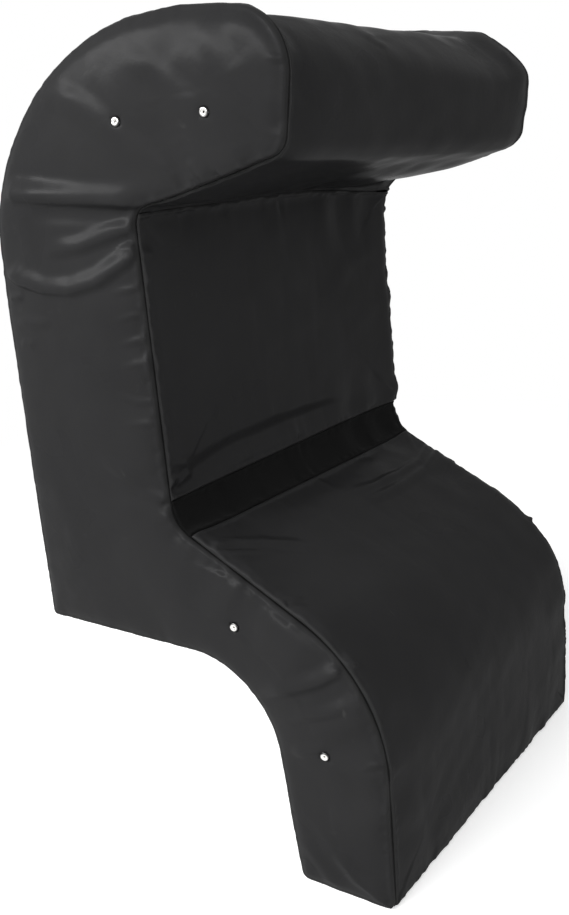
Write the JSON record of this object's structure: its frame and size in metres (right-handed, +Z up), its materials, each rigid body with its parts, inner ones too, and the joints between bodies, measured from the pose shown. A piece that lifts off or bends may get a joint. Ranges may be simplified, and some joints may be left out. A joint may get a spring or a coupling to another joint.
{
  "type": "tackle shield",
  "caption": "Tall padded tackle shield with an overhanging head roll, a shoulder recess, a curved lower pad and handles on its flat back.",
  "frame": {"origin": "middle of the bounding box, handles included, at the height of the foot's underside", "axes": "+Z up, +X across the width towards the holder's left, -Y the way the pads face, +Y out of the flat back"},
  "size_m": [0.5812, 0.579, 1.006],
  "materials": {
    "vinyl": "satin",
    "foam": "matte",
    "webbing": "matte",
    "nickel": "polished",
    "zip_plastic": "satin"
  },
  "bodies": {
    "cover": {"head_roll_core": "foam", "column_core": "foam", "leg_core": "foam", "right_side_panel": "vinyl", "left_side_panel": "vinyl", "head_panel": "vinyl", "recess_panel": "vinyl", "lower_front_panel": "vinyl", "base_panel": "vinyl", "step_panel": "vinyl", "rear_panel_upper": "vinyl", "rear_panel_lower": "vinyl", "crease_band": "webbing", "zip_tape_upper": "webbing", "zip_tape_lower": "webbing", "zip_teeth_upper": "zip_plastic", "zip_teeth_lower": "zip_plastic", "zip_start_stop": "nickel", "zip_end_stop": "nickel", "right_eyelet_1": "nickel", "right_eyelet_2": "nickel", "right_eyelet_3": "nickel", "right_eyelet_4": "nickel", "left_eyelet_1": "nickel", "left_eyelet_2": "nickel", "left_eyelet_3": "nickel", "left_eyelet_4": "nickel", "right_eyelet_washer_1": "nickel", "right_eyelet_washer_2": "nickel", "right_eyelet_washer_3": "nickel", "right_eyelet_washer_4": "nickel", "left_eyelet_washer_1": "nickel", "left_eyelet_washer_2": "nickel", "left_eyelet_washer_3": "nickel", "left_eyelet_washer_4": "nickel", "right_handle_upper_patch": "vinyl", "right_handle_lower_patch": "vinyl", "left_handle_upper_patch": "vinyl", "left_handle_lower_patch": "vinyl", "right_handle_upper_tab": "webbing", "right_handle_lower_tab": "webbing", "left_handle_upper_tab": "webbing", "left_handle_lower_tab": "webbing"},
    "right_handle": {"right_handle_strap": "webbing", "right_handle_grip": "vinyl"},
    "left_handle": {"left_handle_strap": "webbing", "left_handle_grip": "vinyl"},
    "zip_slider": {"zip_slider": "nickel"},
    "zip_pull": {"zip_pull": "nickel"}
  },
  "joints": [
    {"name": "right_handle_swing", "type": "hinge", "parent": "cover", "child": "right_handle", "pos_m": [-0.135, 0.2275, 0.5385], "axis": [0, 0, 1], "range_deg": [-35, 35]},
    {"name": "left_handle_swing", "type": "hinge", "parent": "cover", "child": "left_handle", "pos_m": [0.135, 0.2275, 0.5385], "axis": [0, 0, 1], "range_deg": [-35, 35]},
    {"name": "zip_slide", "type": "slide", "parent": "cover", "child": "zip_slider", "axis": [-1, 0, 0], "range_m": [0, 0.42], "deforming": ["zip_teeth_upper", "zip_teeth_lower"]},
    {"name": "zip_pull_swing", "type": "hinge", "parent": "zip_slider", "child": "zip_pull", "pos_m": [0.218, 0.2307, 0.325], "axis": [1, 0, 0], "range_deg": [0, 150]}
  ]
}
